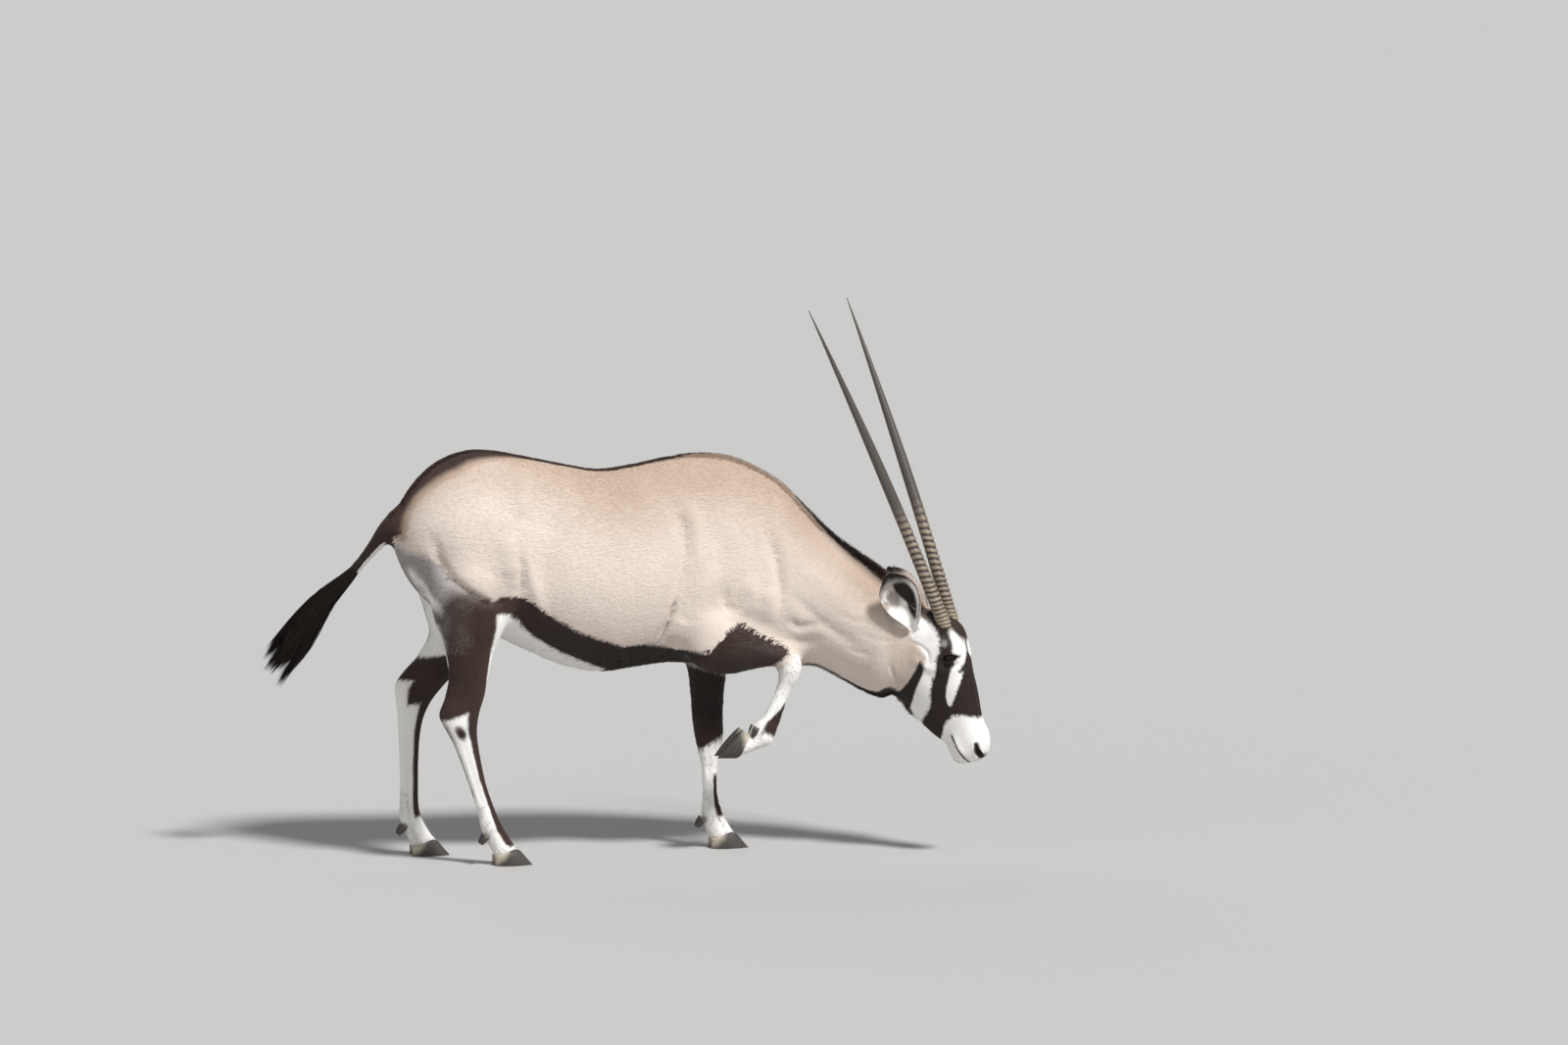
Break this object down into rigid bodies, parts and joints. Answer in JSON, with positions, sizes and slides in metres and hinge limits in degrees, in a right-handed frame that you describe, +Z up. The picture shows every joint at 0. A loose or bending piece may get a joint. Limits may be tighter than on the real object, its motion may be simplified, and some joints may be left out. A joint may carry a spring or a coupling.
{
  "type": "gemsbok",
  "caption": "Life-size still model of a gemsbok wading, one foreleg raised, head low and turned, long straight ringed horns, tail swung back.",
  "frame": {"origin": "on the floor, below the middle of the whole animal's bounding box", "axes": "+X forward along the trunk, +Y to the animal's left, +Z up"},
  "size_m": [2.0714, 0.655, 1.6024],
  "materials": {
    "coat": "short smooth hair",
    "hair": "long coarse hair",
    "horn": "ringed keratin with a soft sheen",
    "hoof": "satin keratin",
    "eye": "wet gloss"
  },
  "bodies": {
    "root": {"ear_left": "coat", "ear_right": "coat", "eye_left": "eye", "eye_right": "eye", "fore_arm_left": "coat", "fore_arm_right": "coat", "fore_cannon_left": "coat", "fore_cannon_right": "coat", "fore_pastern_left": "coat", "fore_pastern_right": "coat", "head": "coat", "hind_cannon_left": "coat", "hind_cannon_right": "coat", "hind_pastern_left": "coat", "hind_pastern_right": "coat", "hind_thigh_left": "coat", "hind_thigh_right": "coat", "hoof_fore_left_inner": "hoof", "hoof_fore_left_outer": "hoof", "hoof_fore_right_inner": "hoof", "hoof_fore_right_outer": "hoof", "hoof_hind_left_inner": "hoof", "hoof_hind_left_outer": "hoof", "hoof_hind_right_inner": "hoof", "hoof_hind_right_outer": "hoof", "horn_left": "horn", "horn_right": "horn", "neck": "coat", "tail_brush": "hair", "tail_dock": "hair", "torso": "coat"}
  },
  "joints": []
}
